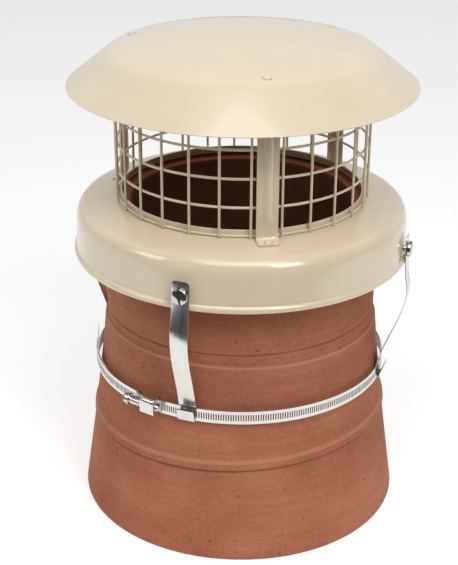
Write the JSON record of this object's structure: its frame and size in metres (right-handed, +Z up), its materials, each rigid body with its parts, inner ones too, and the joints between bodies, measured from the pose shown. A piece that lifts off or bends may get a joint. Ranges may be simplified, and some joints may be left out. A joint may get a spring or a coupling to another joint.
{
  "type": "chimney cowl",
  "caption": "Painted sheet-metal chimney cowl with a domed rain cap and wire bird guard, strapped with a worm-drive band to a tapered clay pot.",
  "frame": {"origin": "centre of the clay pot's foot, on the ground", "axes": "+Z up along the flue, front towards -Y, +X to the right as seen from the front"},
  "size_m": [0.3064, 0.3064, 0.4396],
  "materials": {
    "cream_paint": "smooth cream gloss paint over pressed sheet and wire",
    "stainless": "bright rolled stainless strip and screws",
    "terracotta": "unglazed fired clay with fine pits and specks"
  },
  "bodies": {
    "root": {"rain_cap": "cream_paint", "mesh_guard": "cream_paint", "post_front": "cream_paint", "cap_rivet_front": "cream_paint", "foot_rivet_front": "cream_paint", "post_right": "cream_paint", "cap_rivet_right": "cream_paint", "foot_rivet_right": "cream_paint", "post_left": "cream_paint", "cap_rivet_left": "cream_paint", "foot_rivet_left": "cream_paint", "base_flange": "cream_paint", "strap_front": "stainless", "strap_screw_front": "stainless", "strap_nut_front": "stainless", "strap_right": "stainless", "strap_screw_right": "stainless", "strap_nut_right": "stainless", "strap_back": "stainless", "strap_screw_back": "stainless", "strap_nut_back": "stainless", "strap_left": "stainless", "strap_screw_left": "stainless", "strap_nut_left": "stainless", "clip_band": "stainless", "clip_housing": "stainless", "clip_screw": "stainless", "chimney_pot": "terracotta"}
  },
  "joints": []
}
